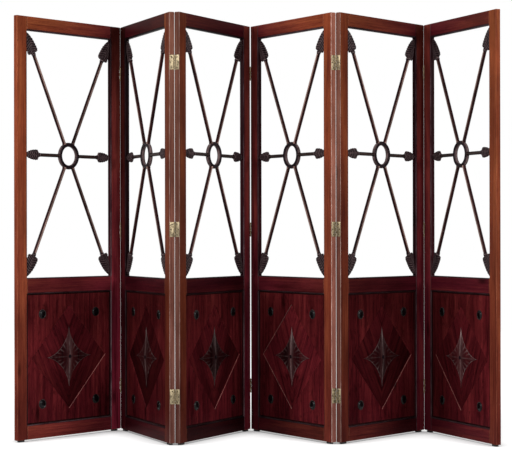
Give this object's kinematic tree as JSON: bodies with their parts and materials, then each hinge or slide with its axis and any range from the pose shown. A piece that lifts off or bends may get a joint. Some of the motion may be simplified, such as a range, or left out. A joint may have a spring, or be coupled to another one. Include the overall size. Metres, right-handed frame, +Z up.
{
  "type": "folding screen",
  "caption": "Zigzag wooden folding screen: tall framed leaves on brass butt hinges, open crossed-arrow grilles above, recessed boards with a sunken rhombus and raised star below.",
  "frame": {"origin": "on the floor, below the middle of the standing zigzag screen as pictured", "axes": "+X along the run of the screen, from the left panel to the right one seen from the front; the front faces -Y; +Z up"},
  "size_m": [2.0654, 0.5928, 1.83],
  "materials": {
    "stile_wood": "orange-brown stained mahogany, satin lacquer",
    "rail_wood": "red-brown stained mahogany, satin lacquer",
    "lower_wood": "dark burgundy stained mahogany, satin lacquer, with near-black studs",
    "grille_wood": "turned and carved wood, dark brown to black stain, satin lacquer",
    "hinge_brass": "pale brass, lightly aged"
  },
  "bodies": {
    "panel_1": {"panel1_stile_left": "stile_wood", "panel1_stile_right": "stile_wood", "panel1_top_rail": "rail_wood", "panel1_lower_unit": "lower_wood", "panel1_arrow_grille": "grille_wood", "hinge12_low_left_leaf": "hinge_brass", "hinge12_mid_left_leaf": "hinge_brass", "hinge12_top_left_leaf": "hinge_brass"},
    "panel_2": {"panel2_stile_left": "stile_wood", "panel2_stile_right": "stile_wood", "panel2_top_rail": "rail_wood", "panel2_lower_unit": "lower_wood", "panel2_arrow_grille": "grille_wood", "hinge12_low_right_leaf": "hinge_brass", "hinge12_mid_right_leaf": "hinge_brass", "hinge12_top_right_leaf": "hinge_brass", "hinge23_low_left_leaf": "hinge_brass", "hinge23_mid_left_leaf": "hinge_brass", "hinge23_top_left_leaf": "hinge_brass"},
    "panel_3": {"panel3_stile_left": "stile_wood", "panel3_stile_right": "stile_wood", "panel3_top_rail": "rail_wood", "panel3_lower_unit": "lower_wood", "panel3_arrow_grille": "grille_wood", "hinge23_low_right_leaf": "hinge_brass", "hinge23_mid_right_leaf": "hinge_brass", "hinge23_top_right_leaf": "hinge_brass", "hinge34_low_left_leaf": "hinge_brass", "hinge34_mid_left_leaf": "hinge_brass", "hinge34_top_left_leaf": "hinge_brass"},
    "panel_4": {"panel4_stile_left": "stile_wood", "panel4_stile_right": "stile_wood", "panel4_top_rail": "rail_wood", "panel4_lower_unit": "lower_wood", "panel4_arrow_grille": "grille_wood", "hinge34_low_right_leaf": "hinge_brass", "hinge34_mid_right_leaf": "hinge_brass", "hinge34_top_right_leaf": "hinge_brass", "hinge45_low_left_leaf": "hinge_brass", "hinge45_mid_left_leaf": "hinge_brass", "hinge45_top_left_leaf": "hinge_brass"},
    "panel_5": {"panel5_stile_left": "stile_wood", "panel5_stile_right": "stile_wood", "panel5_top_rail": "rail_wood", "panel5_lower_unit": "lower_wood", "panel5_arrow_grille": "grille_wood", "hinge45_low_right_leaf": "hinge_brass", "hinge45_mid_right_leaf": "hinge_brass", "hinge45_top_right_leaf": "hinge_brass", "hinge56_low_left_leaf": "hinge_brass", "hinge56_mid_left_leaf": "hinge_brass", "hinge56_top_left_leaf": "hinge_brass"},
    "panel_6": {"panel6_stile_left": "stile_wood", "panel6_stile_right": "stile_wood", "panel6_top_rail": "rail_wood", "panel6_lower_unit": "lower_wood", "panel6_arrow_grille": "grille_wood", "hinge56_low_right_leaf": "hinge_brass", "hinge56_mid_right_leaf": "hinge_brass", "hinge56_top_right_leaf": "hinge_brass"}
  },
  "joints": [
    {"name": "fold_12", "type": "hinge", "parent": "panel_1", "child": "panel_2", "pos_m": [-0.65208, 0.23654, 0.911], "axis": [0, 0, 1], "range_deg": [-65.4, 114.6]},
    {"name": "fold_23", "type": "hinge", "parent": "panel_2", "child": "panel_3", "pos_m": [-0.33351, -0.2866, 0.911], "axis": [0, 0, -1], "range_deg": [-53.1, 126.9]},
    {"name": "fold_34", "type": "hinge", "parent": "panel_3", "child": "panel_4", "pos_m": [-0.0608, 0.26184, 0.911], "axis": [0, 0, 1], "range_deg": [-63.1, 116.9]},
    {"name": "fold_45", "type": "hinge", "parent": "panel_4", "child": "panel_5", "pos_m": [0.34378, -0.19804, 0.911], "axis": [0, 0, -1], "range_deg": [-74.7, 105.3]},
    {"name": "fold_56", "type": "hinge", "parent": "panel_5", "child": "panel_6", "pos_m": [0.72121, 0.28437, 0.911], "axis": [0, 0, 1], "range_deg": [-64.2, 115.8]}
  ]
}
